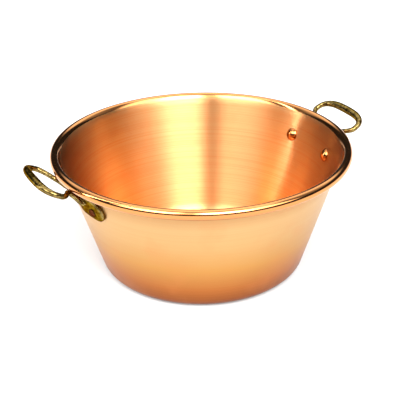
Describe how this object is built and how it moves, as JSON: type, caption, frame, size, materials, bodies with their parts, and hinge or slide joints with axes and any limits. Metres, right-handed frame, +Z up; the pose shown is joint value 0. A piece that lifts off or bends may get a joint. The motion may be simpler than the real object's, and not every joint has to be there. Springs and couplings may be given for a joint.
{
  "type": "copper jam pan",
  "caption": "Wide round copper preserving pan with a flat base, leaning wall, rolled wired rim and riveted cast side handles.",
  "frame": {"origin": "middle of the flat base, on the surface the pan stands on", "axes": "+X through the middle of the right handle, +Y towards the back, +Z up"},
  "size_m": [0.4536, 0.3798, 0.1699],
  "materials": {
    "copper_sheet": "satin",
    "iron_wire": "plain",
    "cast_bronze": "aged",
    "copper_rivet": "polished"
  },
  "bodies": {
    "root": {"basin": "copper_sheet", "rim_wire": "iron_wire", "handle_left": "cast_bronze", "handle_right": "cast_bronze", "rivet_left_front": "copper_rivet", "rivet_left_back": "copper_rivet", "rivet_right_front": "copper_rivet", "rivet_right_back": "copper_rivet"}
  },
  "joints": []
}
